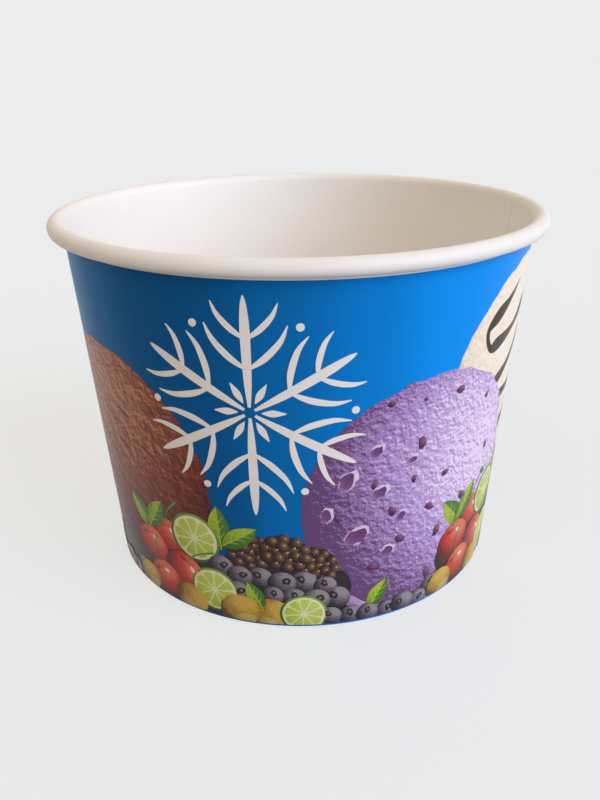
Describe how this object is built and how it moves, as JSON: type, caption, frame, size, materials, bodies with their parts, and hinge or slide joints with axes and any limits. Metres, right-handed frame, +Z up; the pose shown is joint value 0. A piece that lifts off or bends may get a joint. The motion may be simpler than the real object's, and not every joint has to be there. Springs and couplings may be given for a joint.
{
  "type": "paper dessert cup",
  "caption": "Open tapered paperboard cup for ice cream, with a rolled rim, a lapped side seam and a raised bottom disc held in a folded foot.",
  "frame": {"origin": "centre of the circle that the foot stands on", "axes": "+Z up through the mouth, -Y towards the front of the cup, +X to the right, with the side seam close to +X"},
  "size_m": [0.096, 0.096, 0.071],
  "materials": {
    "sidewall": "glossy coated board, printed blue outside and plain white inside and on the rolled rim",
    "bottom_disc": "plain white coated board"
  },
  "bodies": {
    "root": {"sidewall": "sidewall", "bottom_disc": "bottom_disc"}
  },
  "joints": []
}
